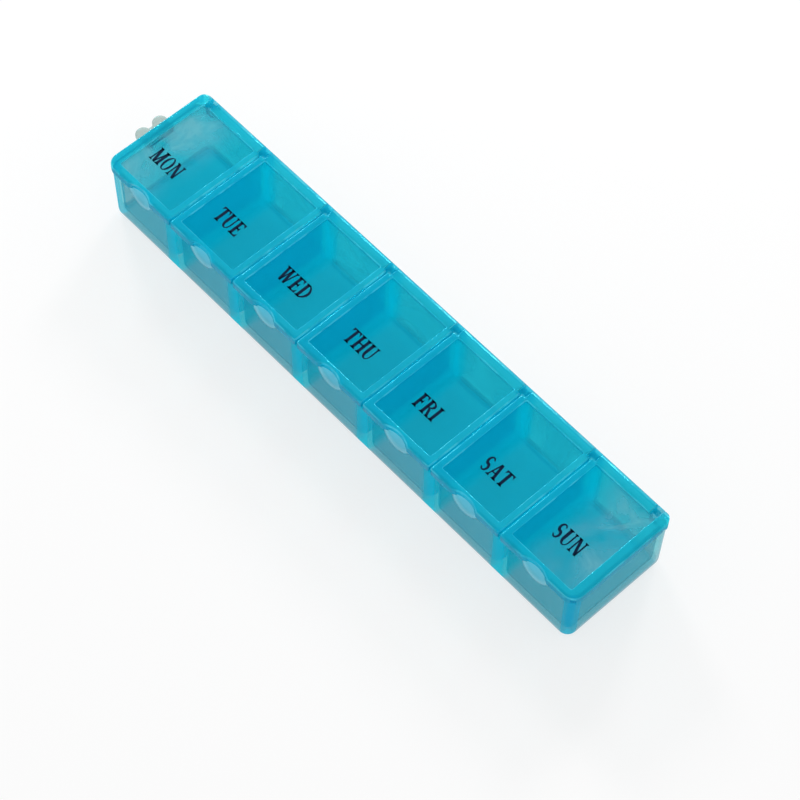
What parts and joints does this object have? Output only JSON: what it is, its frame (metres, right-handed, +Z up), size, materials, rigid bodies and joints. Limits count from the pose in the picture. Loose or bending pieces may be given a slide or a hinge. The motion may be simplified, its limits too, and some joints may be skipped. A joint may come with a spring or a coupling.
{
  "type": "weekly pill organizer",
  "caption": "Long low tray of tinted clear plastic with a row of pill cells, each under its own flip lid hinged at the back edge, finger notches along the front and a small tab on one end.",
  "frame": {"origin": "centre of the tray's flat underside, on the surface it stands on", "axes": "+X along the row from MON to SUN, +Y towards the hinges at the back, +Z up"},
  "size_m": [0.1546, 0.03, 0.0192],
  "materials": {
    "tinted_tray": "glossy, see-through teal",
    "tinted_lid": "glossy, see-through cyan-blue",
    "natural_clip": "uncoloured, milky"
  },
  "bodies": {
    "tray": {"tray": "tinted_tray", "end_clip": "natural_clip"},
    "lid_mon": {"lid_mon": "tinted_lid"},
    "lid_tue": {"lid_tue": "tinted_lid"},
    "lid_wed": {"lid_wed": "tinted_lid"},
    "lid_thu": {"lid_thu": "tinted_lid"},
    "lid_fri": {"lid_fri": "tinted_lid"},
    "lid_sat": {"lid_sat": "tinted_lid"},
    "lid_sun": {"lid_sun": "tinted_lid"}
  },
  "joints": [
    {"name": "lid_mon_hinge", "type": "hinge", "parent": "tray", "child": "lid_mon", "pos_m": [-0.06351, 0.0136, 0.0178], "axis": [-1, 0, 0], "range_deg": [0, 150]},
    {"name": "lid_tue_hinge", "type": "hinge", "parent": "tray", "child": "lid_tue", "pos_m": [-0.04234, 0.0136, 0.0178], "axis": [-1, 0, 0], "range_deg": [0, 150]},
    {"name": "lid_wed_hinge", "type": "hinge", "parent": "tray", "child": "lid_wed", "pos_m": [-0.02117, 0.0136, 0.0178], "axis": [-1, 0, 0], "range_deg": [0, 150]},
    {"name": "lid_thu_hinge", "type": "hinge", "parent": "tray", "child": "lid_thu", "pos_m": [0, 0.0136, 0.0178], "axis": [-1, 0, 0], "range_deg": [0, 150]},
    {"name": "lid_fri_hinge", "type": "hinge", "parent": "tray", "child": "lid_fri", "pos_m": [0.02117, 0.0136, 0.0178], "axis": [-1, 0, 0], "range_deg": [0, 150]},
    {"name": "lid_sat_hinge", "type": "hinge", "parent": "tray", "child": "lid_sat", "pos_m": [0.04234, 0.0136, 0.0178], "axis": [-1, 0, 0], "range_deg": [0, 150]},
    {"name": "lid_sun_hinge", "type": "hinge", "parent": "tray", "child": "lid_sun", "pos_m": [0.06351, 0.0136, 0.0178], "axis": [-1, 0, 0], "range_deg": [0, 150]}
  ]
}
